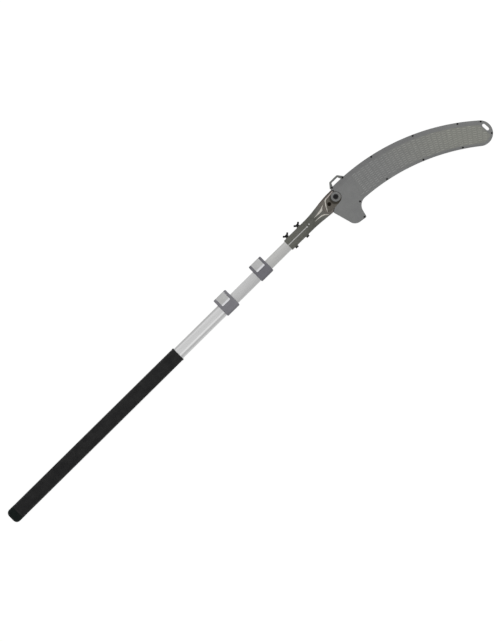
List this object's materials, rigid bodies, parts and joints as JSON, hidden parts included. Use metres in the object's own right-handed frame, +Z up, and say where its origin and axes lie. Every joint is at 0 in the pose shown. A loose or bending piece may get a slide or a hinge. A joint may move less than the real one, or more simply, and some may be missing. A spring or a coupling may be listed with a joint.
{
  "type": "telescopic pole saw",
  "caption": "Collapsed telescopic pole saw with cam-lever clamps, a cast head and a curved blade in a riveted scabbard with a belt loop and a hang eye.",
  "frame": {"origin": "centre of the box of the whole collapsed saw, at its lowest level", "axes": "+X along the pole from the butt to the blade, +Z up from the flat side that it lies on, +Y towards the clamp levers and wing nuts; the blade lies flat and curves towards -Y"},
  "size_m": [1.8532, 0.2516, 0.0439],
  "materials": {
    "anodised_aluminium": "satin",
    "black_rubber": "matte",
    "butt_cap_rubber": "matte",
    "collar_grey": "satin",
    "lever_grey": "satin",
    "brake_plastic": "matte",
    "guide_plastic": "matte",
    "zinc_steel": "satin",
    "black_steel": "satin",
    "olive_casting": "satin",
    "blade_steel": "satin",
    "disc_grey": "satin",
    "scabbard_grey": "satin",
    "loop_grey": "satin",
    "rivet_black": "satin"
  },
  "bodies": {
    "outer_pole": {"butt_cap": "butt_cap_rubber", "rubber_grip": "black_rubber", "outer_tube": "anodised_aluminium", "lower_collar": "collar_grey", "lower_brake_shoe": "brake_plastic", "lower_hinge_pin": "zinc_steel", "lower_collar_screw": "zinc_steel"},
    "lower_lever": {"lower_cam_lever": "lever_grey"},
    "middle_pole": {"middle_tail_guide": "guide_plastic", "middle_tube": "anodised_aluminium", "upper_collar": "collar_grey", "upper_brake_shoe": "brake_plastic", "upper_hinge_pin": "zinc_steel", "upper_collar_screw": "zinc_steel"},
    "upper_lever": {"upper_cam_lever": "lever_grey"},
    "inner_pole": {"inner_tail_guide": "guide_plastic", "inner_tube": "anodised_aluminium", "head_bracket": "olive_casting", "rear_clamp_bolt": "black_steel", "front_clamp_bolt": "black_steel", "saw_blade": "blade_steel", "clamping_disc": "disc_grey", "blade_bolt": "black_steel", "tang_bolt": "black_steel", "blade_bolt_nut": "zinc_steel", "tang_bolt_nut": "zinc_steel"},
    "rear_washer_body": {"rear_washer": "black_steel"},
    "rear_wing_nut_body": {"rear_wing_nut": "black_steel"},
    "front_washer_body": {"front_washer": "black_steel"},
    "front_wing_nut_body": {"front_wing_nut": "black_steel"},
    "scabbard": {"scabbard_front_shell": "scabbard_grey", "scabbard_back_shell": "scabbard_grey", "belt_loop": "loop_grey", "scabbard_rivet_01": "rivet_black", "scabbard_rivet_02": "rivet_black", "scabbard_rivet_03": "rivet_black", "scabbard_rivet_04": "rivet_black", "scabbard_rivet_05": "rivet_black", "scabbard_rivet_06": "rivet_black", "scabbard_rivet_07": "rivet_black", "scabbard_rivet_08": "rivet_black", "scabbard_rivet_09": "rivet_black", "scabbard_rivet_10": "rivet_black", "scabbard_rivet_11": "rivet_black", "scabbard_rivet_12": "rivet_black"}
  },
  "joints": [
    {"name": "middle_pole_slide", "type": "slide", "parent": "outer_pole", "child": "middle_pole", "axis": [1, 0, 0], "range_m": [0, 0.76]},
    {"name": "lower_lever_hinge", "type": "hinge", "parent": "outer_pole", "child": "lower_lever", "pos_m": [-0.01186, 0.10701, 0.02425], "axis": [-1, 0, 0], "range_deg": [0, 110]},
    {"name": "inner_pole_slide", "type": "slide", "parent": "middle_pole", "child": "inner_pole", "axis": [1, 0, 0], "range_m": [0, 0.88]},
    {"name": "upper_lever_hinge", "type": "hinge", "parent": "middle_pole", "child": "upper_lever", "pos_m": [0.13339, 0.10491, 0.02425], "axis": [-1, 0, 0], "range_deg": [0, 110]},
    {"name": "rear_washer_slide", "type": "slide", "parent": "inner_pole", "child": "rear_washer_body", "axis": [0, 1, 0], "range_m": [0, 0.003]},
    {"name": "rear_wing_nut_turn", "type": "hinge", "parent": "rear_washer_body", "child": "rear_wing_nut_body", "pos_m": [0.25709, 0.09871, 0.01925], "axis": [0, 1, 0], "range_deg": [0, 1080]},
    {"name": "front_washer_slide", "type": "slide", "parent": "inner_pole", "child": "front_washer_body", "axis": [0, 1, 0], "range_m": [0, 0.003]},
    {"name": "front_wing_nut_turn", "type": "hinge", "parent": "front_washer_body", "child": "front_wing_nut_body", "pos_m": [0.30259, 0.09871, 0.01925], "axis": [0, 1, 0], "range_deg": [0, 1080]},
    {"name": "scabbard_draw", "type": "hinge", "parent": "inner_pole", "child": "scabbard", "pos_m": [0.46679, -0.59539, 0.01925], "axis": [0, 0, -1], "range_deg": [0, 44]}
  ],
  "couplings": [
    {"joint": "rear_washer_slide", "follows": "rear_wing_nut_turn", "m_per_rad": 0.00015915},
    {"joint": "front_washer_slide", "follows": "front_wing_nut_turn", "m_per_rad": 0.00015915}
  ]
}
